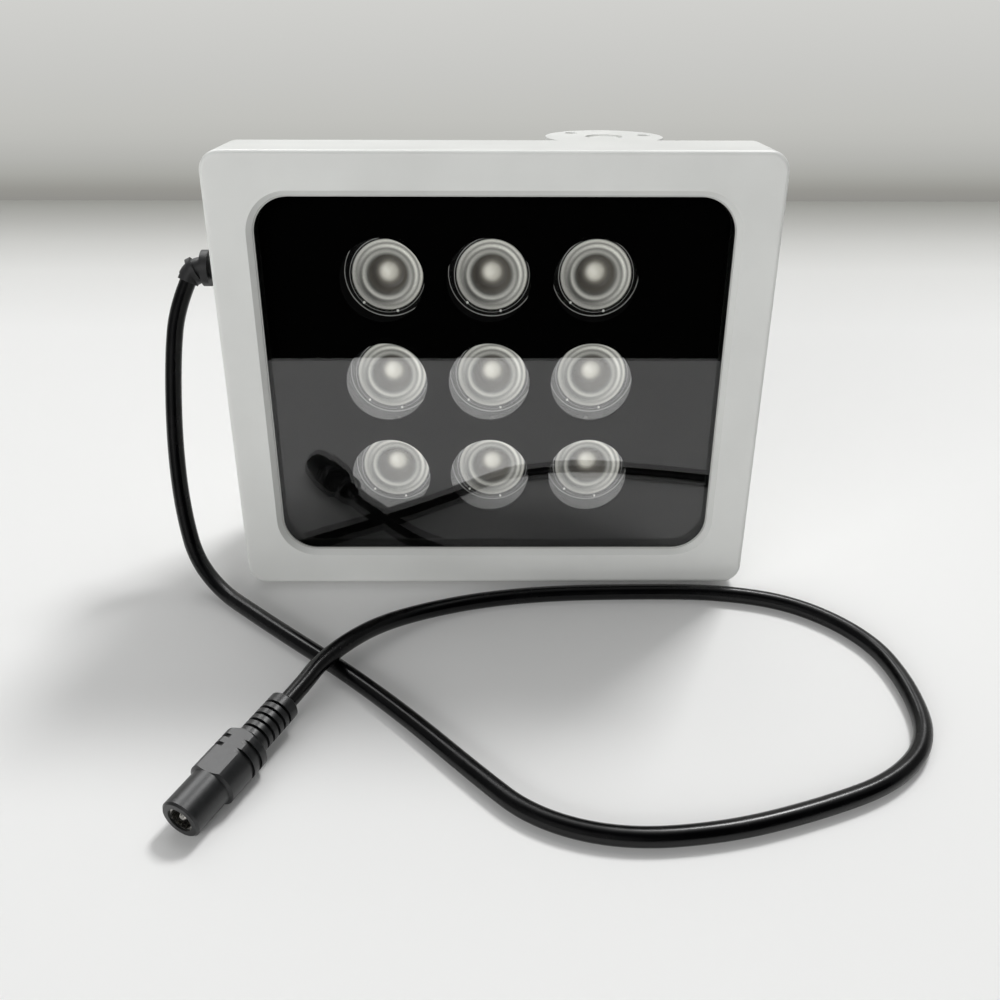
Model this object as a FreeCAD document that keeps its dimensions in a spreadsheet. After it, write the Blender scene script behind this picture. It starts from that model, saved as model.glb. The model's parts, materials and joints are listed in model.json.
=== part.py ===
"""Infrared illuminator: a cast lamp with nine lensed emitters, a lead and a swivelling bracket.

Every piece is drawn in the lamp's own axes: X across, Y from the front face into the lamp, Z up along
the front face, with zero in the middle of the front face. Placements then lean the lamp back, until the
lower back edge of its front frame and the lower back ends of its fins both stand on the ground.
"""
import FreeCAD, Part
import math
import os

import Sketcher
from FreeCAD import Placement, Rotation, Vector

os.makedirs("parts", exist_ok=True)
doc = FreeCAD.newDocument("illuminator")

# Driving dimensions in millimetres, angles in degrees
DIMENSIONS = {
    # front frame
    "panel_width": 150.0,
    "panel_height": 126.0,
    "frame_depth": 22.0,
    "panel_corner": 5.5,
    "front_edge_round": 1.3,
    "side_border": 11.65,
    "top_border": 11.15,
    "opening_corner": 10.0,
    "lip_depth": 1.7,
    "bevel_width": 1.3,
    "bevel_depth": 1.4,
    # glass with its print and sealant
    "glass_thickness": 4.0,
    "glass_cover": 3.55,
    "glass_gap": 0.3,
    "sealant_thickness": 0.4,
    "sealant_lip": 0.4,
    "print_thickness": 0.3,
    "window_diameter": 22.9,
    "print_shift": -1.6,
    # emitters and their lenses
    "lens_pitch": 28.9,
    "lens_shift": -0.56,
    "lens_diameter": 21.0,
    "lens_rim": 0.9,
    "rim_height": 0.6,
    "collar_height": 2.0,
    "flange_diameter": 24.4,
    "flange_thickness": 1.0,
    "ring_diameter": 16.4,
    "ring_width": 1.7,
    "ring_step": 0.4,
    "well_diameter": 10.9,
    "well_floor_diameter": 8.8,
    "well_depth": 3.4,
    "bump_diameter": 4.8,
    "bump_top_diameter": 2.6,
    "bump_shoulder": 0.6,
    "bump_height": 0.9,
    "lens_length": 9.8,
    "cone_diameter": 18.4,
    "cone_waist_diameter": 15.2,
    "cone_waist_depth": 6.6,
    "lens_back_diameter": 9.6,
    "pocket_diameter": 6.2,
    "pocket_depth": 3.0,
    "pocket_taper": 0.3,
    "pocket_crown": 0.5,
    "leg_diameter": 1.6,
    "leg_reach": 10.6,
    "leg_gap": 2.4,
    "emitter_diameter": 8.0,
    "emitter_base": 2.0,
    "dome_diameter": 5.4,
    "emitter_lead_width": 1.6,
    "emitter_lead_length": 2.2,
    "emitter_lead_thickness": 0.4,
    # boards and the plate that carries the heat away
    "board_setback": 4.0,
    "board_side_margin": 8.0,
    "board_top_margin": 5.0,
    "board_corner": 3.0,
    "board_thickness": 1.6,
    "plate_boss_gap": 1.0,
    "plate_wall_gap": 5.0,
    "plate_corner": 4.0,
    "plate_thickness": 3.0,
    "post_inset": 6.0,
    "post_diameter": 8.0,
    "board_screw_hole": 3.2,
    "driver_width": 72.0,
    "driver_height": 46.0,
    "driver_thickness": 1.6,
    "standoff_height": 4.4,
    "standoff_diameter": 6.0,
    "standoff_inset": 4.0,
    "coil_diameter": 12.0,
    "coil_height": 7.0,
    "coil_flange": 1.0,
    "coil_across": -8.0,
    "capacitor_diameter": 8.0,
    "capacitor_height": 8.0,
    "capacitor_rim": 0.4,
    "capacitor_across": 12.0,
    "capacitor_up": 7.0,
    "chip_width": 5.0,
    "chip_height": 6.0,
    "chip_thickness": 1.6,
    "chip_corner": 0.3,
    "chip_across": 2.0,
    "chip_up": -14.0,
    "terminal_width": 8.0,
    "terminal_height": 10.2,
    "terminal_thickness": 8.4,
    "terminal_corner": 0.5,
    "terminal_up": 5.0,
    # rear housing
    "housing_inset": 3.0,
    "housing_corner": 8.0,
    "shell_depth": 27.0,
    "wall": 3.0,
    "back_edge_round": 2.0,
    "fin_height": 6.0,
    "fin_thickness": 2.2,
    "fin_pitch": 9.0,
    "fin_count": 15,
    "fin_top_drop": 1.6,
    "mount_boss_diameter": 40.0,
    "screw_inset": 9.5,
    "corner_boss_diameter": 9.0,
    "corner_screw_seat": 12.0,
    "seal_inset": 0.9,
    "seal_width": 1.2,
    "seal_depth": 1.0,
    "screw_grip": 8.0,
    "thread_diameter": 3.0,
    "head_diameter": 5.6,
    "head_height": 2.4,
    "head_gap": 0.8,
    "thread_gap": 0.06,
    "thread_point": 0.4,
    # lead, its strain relief and its socket
    "cable_diameter": 4.8,
    "lead_depth": 34.0,
    "lead_up": 25.6,
    "boot_neck_diameter": 8.0,
    "boot_collar_diameter": 12.0,
    "boot_collar_length": 3.0,
    "boot_inner_collar": 2.0,
    "boot_core_diameter": 6.6,
    "boot_straight": 14.6,
    "boot_bend_radius": 4.6,
    "boot_bend_angle": 66.0,
    "boot_turn": 20.0,
    "boot_ring_diameter": 10.6,
    "boot_ring_length": 2.2,
    "boot_ring_gap": 2.4,
    "boot_tip_ring_diameter": 8.2,
    "boot_tip_ring_length": 1.5,
    "boot_tip_ring_angle": 27.0,
    "boot_end_diameter": 6.2,
    "boot_end_length": 1.5,
    "cord_gap": 0.7,
    "socket_diameter": 10.4,
    "socket_length": 39.6,
    "socket_edge": 0.5,
    "tail_diameter": 8.2,
    "tail_length": 14.8,
    "tail_collar": 3.2,
    "tail_groove_count": 5,
    "tail_groove_pitch": 2.2,
    "tail_groove_width": 0.8,
    "tail_groove_depth": 0.8,
    "grip_diameter": 12.2,
    "grip_length": 14.2,
    "grip_chamfer": 1.0,
    "grip_groove_count": 2,
    "grip_groove_pitch": 2.8,
    "grip_groove_width": 1.1,
    "grip_groove_depth": 0.6,
    "socket_bore": 5.6,
    "socket_bore_depth": 9.5,
    "sleeve_wall": 0.5,
    "pin_diameter": 2.0,
    "pin_setback": 0.8,
    "pin_point": 0.3,
    # bracket
    "base_diameter": 36.0,
    "base_thickness": 5.0,
    "base_screw_up": 12.6,
    "base_screw_diameter": 4.0,
    "base_head_diameter": 7.6,
    "base_head_height": 2.4,
    "base_screw_length": 8.5,
    "hinge_height": 15.0,
    "lug_radius": 8.0,
    "lug_gap": 12.2,
    "lug_thickness": 5.0,
    "tilt_bolt_diameter": 6.0,
    "running_gap": 0.05,
    "side_gap": 0.2,
    "nut_across_flats": 10.0,
    "nut_thickness": 5.0,
    "bolt_head_thickness": 4.0,
    "table_diameter": 18.0,
    "table_height": 10.0,
    "table_thickness": 4.0,
    "stem_depth": 12.0,
    "stud_diameter": 8.0,
    "turn_gap": 0.1,
    "hub_height": 8.0,
    "hub_diameter": 18.9,
    "arm_width": 12.0,
    "arm_reach": 36.75,
    "neck_top": 47.9,
    "foot_boss_diameter": 17.0,
    "foot_boss_height": 6.0,
    "foot_diameter": 38.0,
    "foot_thickness": 4.0,
    "foot_hole_circle": 28.0,
    "foot_hole_diameter": 4.2,
    "foot_sink_diameter": 7.8,
    "foot_sink_depth": 1.8,
    "cap_diameter": 11.2,
    "cap_thickness": 1.5,
    "cap_edge": 0.8,
    "cap_recess": 2.0,
    "cap_gap": 0.4,
    "rest_swing": 15.0,
}

sizes = doc.addObject("Spreadsheet::Sheet", "sizes")
for row, (alias, number) in enumerate(DIMENSIONS.items(), start=1):
    sizes.set(f"A{row}", alias.replace("_", " "))
    sizes.set(f"B{row}", str(number))
    sizes.setAlias(f"B{row}", alias)
doc.recompute()


class Size:
    """Read a driving dimension from the sheet by its alias."""

    def __getattr__(self, alias):
        return float(sizes.get(alias))


size = Size()


def bound(text):
    """Point each alias in an expression at the sheet."""
    words = text.split(" ")
    return " ".join("sizes." + word if word in DIMENSIONS else word for word in words)


# Expressions that several pieces share
OPENING_WIDTH = "( panel_width - 2 * side_border )"
OPENING_HEIGHT = "( panel_height - 2 * top_border )"
GLASS_WIDTH = f"( {OPENING_WIDTH} + 2 * glass_cover )"
GLASS_HEIGHT = f"( {OPENING_HEIGHT} + 2 * glass_cover )"
GLASS_CORNER = "( opening_corner + glass_cover )"
GLASS_FACE = "( lip_depth + sealant_thickness )"
PRINT_FACE = f"( {GLASS_FACE} + glass_thickness )"
BOARD_FACE = "( frame_depth + board_setback )"
PLATE_FACE = f"( {BOARD_FACE} + board_thickness )"
PLATE_BACK = f"( {PLATE_FACE} + plate_thickness )"
SHELL_BACK = "( frame_depth + shell_depth )"
CAVITY_BACK = f"( {SHELL_BACK} - wall )"
FIN_TIP = f"( {SHELL_BACK} + fin_height )"
DRIVER_BACK = f"( {CAVITY_BACK} - standoff_height )"
DRIVER_FACE = f"( {DRIVER_BACK} - driver_thickness )"
HOUSING_WIDTH = "( panel_width - 2 * housing_inset )"
HOUSING_HEIGHT = "( panel_height - 2 * housing_inset )"
SCREW_ACROSS = "( panel_width / 2 - screw_inset )"
SCREW_UP = "( panel_height / 2 - screw_inset )"
PLATE_WIDTH = f"( 2 * {SCREW_ACROSS} - corner_boss_diameter - 2 * plate_boss_gap )"
PLATE_HEIGHT = f"( {HOUSING_HEIGHT} - 2 * wall - 2 * plate_wall_gap )"
BOARD_WIDTH = f"( {PLATE_WIDTH} - 2 * board_side_margin )"
BOARD_HEIGHT = f"( {PLATE_HEIGHT} - 2 * board_top_margin )"
POST_ACROSS = f"( {BOARD_WIDTH} / 2 - post_inset )"
POST_UP = f"( {BOARD_HEIGHT} / 2 - post_inset )"
WELL_TOP = "( rim_height + ring_step )"
WELL_FLOOR = f"( {WELL_TOP} + well_depth )"
POCKET_ROOF = "( lens_length - pocket_depth )"
SOCKET_FLOOR = "( socket_length - socket_bore_depth - socket_edge )"
SIDES = (-1, 1)


def value(text):
    """Work out a shared expression from the sheet's numbers."""
    total = text
    for alias in sorted(DIMENSIONS, key=len, reverse=True):
        total = total.replace(alias, repr(getattr(size, alias)))
    return FreeCAD.Units.Quantity(total).Value


# Sketch and feature helpers
def plane(body, role):
    return next(feature for feature in body.Origin.OriginFeatures if feature.Role == role)


def new_body(name):
    body = doc.addObject("PartDesign::Body", name)
    body.Label = name
    return body


def sketch_on(body, role="XZ_Plane", offset=None):
    """Open a sketch. On the XZ plane the offset is a depth behind the front face."""
    sketch = body.newObject("Sketcher::SketchObject", "outline")
    sketch.AttachmentSupport = [(plane(body, role), "")]
    sketch.MapMode = "FlatFace"
    if offset is not None:
        sign = "-1" if role == "XZ_Plane" else "1"
        sketch.setExpression("AttachmentOffset.Base.z", bound(f"{sign} * ( {offset} )"))
    return sketch


def bind(sketch, constraint, text):
    index = sketch.addConstraint(constraint)
    sketch.setExpression(f"Constraints[{index}]", bound(text))


def rounded_rectangle(sketch, width, height, corner):
    """Draw a rectangle with round corners, centred on the sketch."""
    half_w, half_h, radius = 60.0, 45.0, 6.0
    start = len(sketch.Geometry)
    line, arc = Part.LineSegment, Part.ArcOfCircle
    corners = [(1, -1, -90), (1, 1, 0), (-1, 1, 90), (-1, -1, 180)]
    ends = []
    for across, up, angle in corners:
        centre = Vector(across * (half_w - radius), up * (half_h - radius), 0)
        circle = Part.Circle(centre, Vector(0, 0, 1), radius)
        ends.append(arc(circle, math.radians(angle), math.radians(angle + 90)))
    geometry = []
    for index, piece in enumerate(ends):
        before = ends[index - 1]
        geometry.append(line(before.EndPoint, piece.StartPoint))
        geometry.append(piece)
    sketch.addGeometry(geometry, False)
    count = len(geometry)
    for index in range(count):
        here, after = start + index, start + (index + 1) % count
        sketch.addConstraint(Sketcher.Constraint("Tangent", here, 2, after, 1))
    for index in (0, 4):
        sketch.addConstraint(Sketcher.Constraint("Horizontal", start + index))
    for index in (2, 6):
        sketch.addConstraint(Sketcher.Constraint("Vertical", start + index))
    for index in (3, 5, 7):
        sketch.addConstraint(Sketcher.Constraint("Equal", start + 1, start + index))
    sketch.addConstraint(Sketcher.Constraint("Symmetric", start + 1, 3, start + 5, 3, -1, 1))
    bind(sketch, Sketcher.Constraint("DistanceX", start + 6, 1, start + 2, 1, 2 * half_w), width)
    bind(sketch, Sketcher.Constraint("DistanceY", start, 1, start + 4, 1, 2 * half_h), height)
    bind(sketch, Sketcher.Constraint("Radius", start + 1, radius), corner)


def circles(sketch, centres, diameter):
    """Draw equal circles at centres given as pairs of expressions."""
    for order, (across, up) in enumerate(centres):
        spot = Vector(10.0 * order + 1.0, 2.0 * order + 1.0, 0)
        index = sketch.addGeometry(Part.Circle(spot, Vector(0, 0, 1), 2.0), False)
        bind(sketch, Sketcher.Constraint("Diameter", index, 4.0), diameter)
        bind(sketch, Sketcher.Constraint("DistanceX", -1, 1, index, 3, spot.x), across)
        bind(sketch, Sketcher.Constraint("DistanceY", -1, 1, index, 3, spot.y), up)


def polygon(sketch, corners):
    """Draw a closed outline whose corners are pairs of expressions."""
    start = len(sketch.Geometry)
    count = len(corners)
    turn = 2 * math.pi / count
    spots = [Vector(20 + 9 * math.cos(turn * k), 9 * math.sin(turn * k), 0) for k in range(count)]
    lines = [Part.LineSegment(spots[k], spots[(k + 1) % count]) for k in range(count)]
    sketch.addGeometry(lines, False)
    for k, (across, up) in enumerate(corners):
        here, after = start + k, start + (k + 1) % count
        sketch.addConstraint(Sketcher.Constraint("Coincident", here, 2, after, 1))
        bind(sketch, Sketcher.Constraint("DistanceX", -1, 1, here, 1, spots[k].x), across)
        bind(sketch, Sketcher.Constraint("DistanceY", -1, 1, here, 1, spots[k].y), up)


def feature(body, kind, sketch, length=None, midplane=False, reverse=False):
    made = body.newObject(f"PartDesign::{kind}", kind.lower())
    made.Profile = sketch
    if kind in ("Revolution", "Groove"):
        made.ReferenceAxis = (sketch, ["V_Axis"])
        made.Angle = 360.0
    if length is not None:
        made.setExpression("Length", bound(length))
        made.Midplane = midplane
        made.Reversed = reverse
    sketch.Visibility = False
    return made


def slab(body, depth, thickness, width, height, corner):
    """Pad a rounded rectangle backwards from a depth behind the front face."""
    sketch = sketch_on(body, offset=depth)
    rounded_rectangle(sketch, width, height, corner)
    return feature(body, "Pad", sketch, thickness, reverse=True)


def recess(body, depth, length, width, height, corner):
    """Cut a rounded rectangle backwards from a depth behind the front face."""
    sketch = sketch_on(body, offset=depth)
    rounded_rectangle(sketch, width, height, corner)
    return feature(body, "Pocket", sketch, length)


def drill(body, depth, length, centres, diameter):
    sketch = sketch_on(body, offset=depth)
    circles(sketch, centres, diameter)
    return feature(body, "Pocket", sketch, length)


def studs(body, depth, length, centres, diameter):
    sketch = sketch_on(body, offset=depth)
    circles(sketch, centres, diameter)
    return feature(body, "Pad", sketch, length, reverse=True)


def turned(body, corners):
    """Revolve an outline of radius and length pairs about the local Y axis."""
    sketch = sketch_on(body, "XY_Plane")
    polygon(sketch, corners)
    return feature(body, "Revolution", sketch)


def upright(body, kind, offset, length, diameter, across="0", deep="0"):
    """Pad or pocket a circle about an upright axis, upwards for a pad and downwards for a pocket."""
    sketch = sketch_on(body, "XY_Plane", offset)
    circles(sketch, [(across, deep)], diameter)
    return feature(body, kind, sketch, length)


def edges_where(shape, test):
    return [f"Edge{index}" for index, edge in enumerate(shape.Edges, start=1) if test(edge.BoundBox)]


def round_edges(body, test, radius):
    doc.recompute()
    base = body.Tip
    made = body.newObject("PartDesign::Fillet", "round")
    made.Base = (base, edges_where(base.Shape, test))
    made.setExpression("Radius", bound(radius))
    return made


def four(across, up):
    return [(f"{a} * {across}", f"{b} * {up}") for a in SIDES for b in SIDES]


def grid(shift):
    """Centres of the three by three array, shifted sideways."""
    return [(f"{shift} + {a} * lens_pitch", f"{-b} * lens_pitch") for b in (-1, 0, 1) for a in (-1, 0, 1)]


NODES = []


def node(item, across=0.0, deep=0.0, up=0.0, turn=None):
    """Register a finished piece with its place in the lamp's own axes."""
    NODES.append((item, Placement(Vector(across, deep, up), turn or Rotation())))
    return item


# Front frame: one casting with a lip over the glass and a wall round it
def make_front_frame():
    body = new_body("front_frame")
    slab(body, "0", "frame_depth", "panel_width", "panel_height", "panel_corner")
    room = "2 * glass_gap"
    recess(body, "lip_depth", "frame_depth - lip_depth", f"{GLASS_WIDTH} + {room}",
           f"{GLASS_HEIGHT} + {room}", f"{GLASS_CORNER} + glass_gap")
    recess(body, "0", "lip_depth", OPENING_WIDTH, OPENING_HEIGHT, "opening_corner")
    outer = sketch_on(body, offset="0")
    rounded_rectangle(outer, f"{OPENING_WIDTH} + 2 * bevel_width", f"{OPENING_HEIGHT} + 2 * bevel_width",
                      "opening_corner + bevel_width")
    inner = sketch_on(body, offset="bevel_depth")
    rounded_rectangle(inner, OPENING_WIDTH, OPENING_HEIGHT, "opening_corner")
    bevel = body.newObject("PartDesign::SubtractiveLoft", "bevel")
    bevel.Profile = outer
    bevel.Sections = [inner]
    bevel.Ruled = True
    groove = sketch_on(body, offset="frame_depth - seal_depth")
    seal_outline(groove)
    feature(body, "Pocket", groove, "seal_depth")
    drill(body, "frame_depth - screw_grip - head_gap", "screw_grip + head_gap",
          four(SCREW_ACROSS, SCREW_UP), "thread_diameter")
    outer_half = size.panel_width / 2 - size.panel_corner

    def outer_front(box):
        reach = max(abs(box.XMin), abs(box.XMax)) > outer_half
        tall = max(abs(box.ZMin), abs(box.ZMax)) > size.panel_height / 2 - size.panel_corner
        return box.YMax < 1e-4 and (reach or tall)

    round_edges(body, outer_front, "front_edge_round")
    return node(body)


def seal_outline(sketch):
    for inset in ("seal_inset", "( seal_inset + seal_width )"):
        rounded_rectangle(sketch, f"{HOUSING_WIDTH} - 2 * {inset}", f"{HOUSING_HEIGHT} - 2 * {inset}",
                          f"housing_corner - {inset}")


# Glass with the black print on its back and the sealant under the lip
def make_glass():
    glass = new_body("glass_panel")
    slab(glass, GLASS_FACE, "glass_thickness", GLASS_WIDTH, GLASS_HEIGHT, GLASS_CORNER)
    node(glass)

    mask = new_body("window_print")
    sketch = sketch_on(mask, offset=PRINT_FACE)
    rounded_rectangle(sketch, GLASS_WIDTH, GLASS_HEIGHT, GLASS_CORNER)
    circles(sketch, grid("print_shift"), "window_diameter")
    feature(mask, "Pad", sketch, "print_thickness", reverse=True)
    node(mask)

    bead = new_body("glass_sealant")
    sketch = sketch_on(bead, offset="lip_depth")
    rounded_rectangle(sketch, GLASS_WIDTH, GLASS_HEIGHT, GLASS_CORNER)
    rounded_rectangle(sketch, f"{OPENING_WIDTH} - 2 * sealant_lip", f"{OPENING_HEIGHT} - 2 * sealant_lip",
                      "opening_corner - sealant_lip")
    feature(bead, "Pad", sketch, "sealant_thickness", reverse=True)
    node(bead)


# One collimator lens on three legs, its front rim at local zero
def make_lens(order, across, up):
    body = new_body(f"lens_{order}")
    rim = "lens_diameter / 2 - lens_rim"
    flange_back = "( collar_height + flange_thickness )"
    turned(body, [
        ("lens_diameter / 2", "0"),
        ("lens_diameter / 2", "collar_height"),
        ("flange_diameter / 2", "collar_height"),
        ("flange_diameter / 2", flange_back),
        ("cone_diameter / 2", flange_back),
        ("cone_waist_diameter / 2", "cone_waist_depth"),
        ("lens_back_diameter / 2", "lens_length"),
        ("pocket_diameter / 2", "lens_length"),
        ("pocket_diameter / 2 - pocket_taper", POCKET_ROOF),
        ("0", f"{POCKET_ROOF} - pocket_crown"),
        ("0", f"{WELL_FLOOR} - bump_height"),
        ("bump_top_diameter / 2", f"{WELL_FLOOR} - bump_shoulder"),
        ("bump_diameter / 2", WELL_FLOOR),
        ("well_floor_diameter / 2", WELL_FLOOR),
        ("well_diameter / 2", WELL_TOP),
        ("ring_diameter / 2 - ring_width", WELL_TOP),
        ("ring_diameter / 2", "rim_height"),
        (rim, "rim_height"),
        (rim, "0"),
    ])
    legs = [("0", "leg_reach"), ("leg_reach * cos(30)", "-0.5 * leg_reach"),
            ("-1 * leg_reach * cos(30)", "-0.5 * leg_reach")]
    middle = f"( {flange_back} - flange_thickness / 2 )"
    studs(body, middle, f"lens_length + leg_gap - {middle}", legs, "leg_diameter")
    front = size.frame_depth + size.board_setback - size.lens_length - size.leg_gap
    return node(body, across, front, up)


# One emitter: a round package with a clear dome and two flat leads, its foot at local zero
def make_emitter(order, across, up):
    name = f"emitter_{order}"
    base = doc.addObject("Part::Cylinder", f"{name}_base")
    base.setExpression("Radius", bound("emitter_diameter / 2"))
    base.setExpression("Height", bound("emitter_base"))
    base.Placement = Placement(Vector(), Rotation(Vector(1, 0, 0), 90))
    dome = doc.addObject("Part::Sphere", f"{name}_dome")
    dome.setExpression("Radius", bound("dome_diameter / 2"))
    dome.Angle1 = 0.0
    dome.Placement = Placement(Vector(), Rotation(Vector(1, 0, 0), 90))
    dome.setExpression("Placement.Base.y", bound("-1 * emitter_base"))
    pieces = [base, dome]
    for side in SIDES:
        lead = doc.addObject("Part::Box", f"{name}_lead")
        lead.setExpression("Length", bound("2 * emitter_lead_length"))
        lead.setExpression("Width", bound("emitter_lead_thickness"))
        lead.setExpression("Height", bound("emitter_lead_width"))
        lead.setExpression("Placement.Base.x",
                           bound(f"{side} * emitter_diameter / 2 - emitter_lead_length"))
        lead.setExpression("Placement.Base.y", bound("-1 * emitter_lead_thickness"))
        lead.setExpression("Placement.Base.z", bound("-1 * emitter_lead_width / 2"))
        pieces.append(lead)
    fused = doc.addObject("Part::MultiFuse", name)
    fused.Shapes = pieces
    fused.Label = name
    return node(fused, across, size.frame_depth + size.board_setback, up)


# Emitter board and the aluminium plate behind it, on four posts
def make_boards():
    posts = four(POST_ACROSS, POST_UP)
    face = size.frame_depth + size.board_setback
    board = new_body("emitter_board")
    sketch = sketch_on(board)
    rounded_rectangle(sketch, BOARD_WIDTH, BOARD_HEIGHT, "board_corner")
    circles(sketch, posts, "board_screw_hole")
    feature(board, "Pad", sketch, "board_thickness", reverse=True)
    node(board, size.lens_shift, face)

    plate = new_body("heat_plate")
    sketch = sketch_on(plate)
    rounded_rectangle(sketch, PLATE_WIDTH, PLATE_HEIGHT, "plate_corner")
    circles(sketch, posts, "board_screw_hole")
    feature(plate, "Pad", sketch, "plate_thickness", reverse=True)
    node(plate, size.lens_shift, face + size.board_thickness)


def driver_posts():
    return four("( driver_width / 2 - standoff_inset )", "( driver_height / 2 - standoff_inset )")


# Driver board behind the plate, with the parts that feed the emitters
def make_driver():
    board = new_body("driver_board")
    sketch = sketch_on(board)
    rounded_rectangle(sketch, "driver_width", "driver_height", "board_corner")
    circles(sketch, driver_posts(), "board_screw_hole")
    feature(board, "Pad", sketch, "driver_thickness", reverse=True)
    face = size.shell_depth + size.frame_depth - size.wall - size.standoff_height - size.driver_thickness
    node(board, 0.0, face)

    coil = new_body("driver_coil")
    waist = "coil_diameter / 2 - coil_flange"
    turned(coil, [
        ("0", "0"), ("coil_diameter / 2", "0"), ("coil_diameter / 2", "-1 * coil_flange"),
        (waist, "-2 * coil_flange"), (waist, "2 * coil_flange - coil_height"),
        ("coil_diameter / 2", "coil_flange - coil_height"), ("coil_diameter / 2", "-1 * coil_height"),
        ("0", "-1 * coil_height")])
    node(coil, size.coil_across, face, 0.0)

    for order, side in enumerate(SIDES, start=1):
        can = new_body(f"driver_capacitor_{order}")
        turned(can, [
            ("0", "0"), ("capacitor_diameter / 2", "0"),
            ("capacitor_diameter / 2", "capacitor_rim - capacitor_height"),
            ("capacitor_diameter / 2 - capacitor_rim", "-1 * capacitor_height"),
            ("0", "-1 * capacitor_height")])
        node(can, size.capacitor_across, face, side * size.capacitor_up)

    chip = make_block("driver_chip", "chip_width", "chip_height", "chip_thickness", "chip_corner")
    node(chip, size.chip_across, face, size.chip_up)
    terminal = make_block("driver_terminal", "terminal_width", "terminal_height", "terminal_thickness",
                          "terminal_corner")
    node(terminal, -size.driver_width / 2 + size.terminal_width, face, size.terminal_up)


def make_block(name, width, height, thickness, corner):
    """Pad a block forwards from the board that carries it."""
    body = new_body(name)
    sketch = sketch_on(body)
    rounded_rectangle(sketch, width, height, corner)
    feature(body, "Pad", sketch, thickness)
    return body


# Rear housing: a finned casting with posts and screw bosses inside
def make_rear_housing():
    body = new_body("rear_housing")
    slab(body, "frame_depth", "shell_depth", HOUSING_WIDTH, HOUSING_HEIGHT, "housing_corner")
    back = size.frame_depth + size.shell_depth
    round_edges(body, lambda box: box.YMin > back - 1e-4, "back_edge_round")
    recess(body, "frame_depth", "shell_depth - wall", f"{HOUSING_WIDTH} - 2 * wall",
           f"{HOUSING_HEIGHT} - 2 * wall", "housing_corner - wall")

    fin = sketch_on(body, offset=f"{SHELL_BACK} - wall / 2")
    left = "( -0.5 * ( fin_count - 1 ) * fin_pitch - fin_thickness / 2 )"
    low, high = f"-1 * {HOUSING_HEIGHT} / 2", f"{HOUSING_HEIGHT} / 2 - fin_top_drop"
    polygon(fin, [(left, low), (f"{left} + fin_thickness", low), (f"{left} + fin_thickness", high),
                  (left, high)])
    first = feature(body, "Pad", fin, "fin_height + wall / 2", reverse=True)
    fins = body.newObject("PartDesign::LinearPattern", "fins")
    fins.Originals = [first]
    fins.Direction = (fin, ["H_Axis"])
    fins.setExpression("Length", bound("( fin_count - 1 ) * fin_pitch"))
    fins.setExpression("Occurrences", bound("fin_count"))
    body.Tip = fins

    studs(body, f"{SHELL_BACK} - wall / 2", "fin_height + wall / 2", [("0", "0")], "mount_boss_diameter")
    corners = four(SCREW_ACROSS, SCREW_UP)
    studs(body, "frame_depth", "shell_depth - wall / 2", corners, "corner_boss_diameter")
    seat = "frame_depth + corner_screw_seat"
    drill(body, seat, f"{FIN_TIP} - ( {seat} ) + 1", corners, "head_diameter + head_gap")
    drill(body, "frame_depth", "corner_screw_seat", corners, "thread_diameter + head_gap / 2")

    posts = [(f"lens_shift + {across}", up) for across, up in four(POST_ACROSS, POST_UP)]
    studs(body, PLATE_BACK, f"{CAVITY_BACK} - {PLATE_BACK} + wall / 2", posts, "post_diameter")
    drill(body, PLATE_BACK, "screw_grip + head_gap", posts, "thread_diameter")
    studs(body, DRIVER_BACK, "standoff_height + wall / 2", driver_posts(), "standoff_diameter")
    drill(body, DRIVER_BACK, "standoff_height", driver_posts(), "thread_diameter")

    base_holes = [("0", f"{side} * base_screw_up") for side in SIDES]
    grip = "( base_screw_length - base_thickness + base_head_height )"
    drill(body, f"{FIN_TIP} - {grip} - head_gap", f"{grip} + head_gap", base_holes,
          "base_screw_diameter")

    exit_hole = sketch_on(body, "YZ_Plane", f"-0.5 * {HOUSING_WIDTH} + wall + 1")
    circles(exit_hole, [("lead_depth", "lead_up")], "boot_neck_diameter")
    feature(body, "Pocket", exit_hole, "wall + 2")
    return node(body)


def make_housing_seal():
    body = new_body("housing_seal")
    sketch = sketch_on(body, offset="frame_depth - seal_depth")
    seal_outline(sketch)
    feature(body, "Pad", sketch, "seal_depth", reverse=True)
    return node(body)


# Screws: one pattern piece is turned, then copied to its places as separate solids
def screw_shape(name, grip, diameter, head, height):
    """Turn a pan head screw that drives forwards, its head seat at local zero."""
    body = new_body(name)
    shank = f"( {diameter} - thread_gap ) / 2"
    turned(body, [
        ("0", height), ("0", f"-1 * ( {grip} )"), (f"{shank} - thread_point", f"-1 * ( {grip} )"),
        (shank, f"thread_point - ( {grip} )"), (shank, "0"), (f"{head} / 2", "0"),
        (f"{head} / 2", f"0.6 * {height}"), (f"0.36 * {head}", height)])
    doc.recompute()
    return body


def screw_group(name, pattern, places, turn):
    """Gather copies of one screw into a node of separate solids."""
    copies = []
    for across, deep, up in places:
        copy = pattern.Shape.copy()
        copy.Placement = Placement(Vector(across, deep, up), turn)
        copies.append(copy)
    group = doc.addObject("Part::Feature", name)
    group.Shape = Part.makeCompound(copies)
    group.Label = name
    return node(group)


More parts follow.
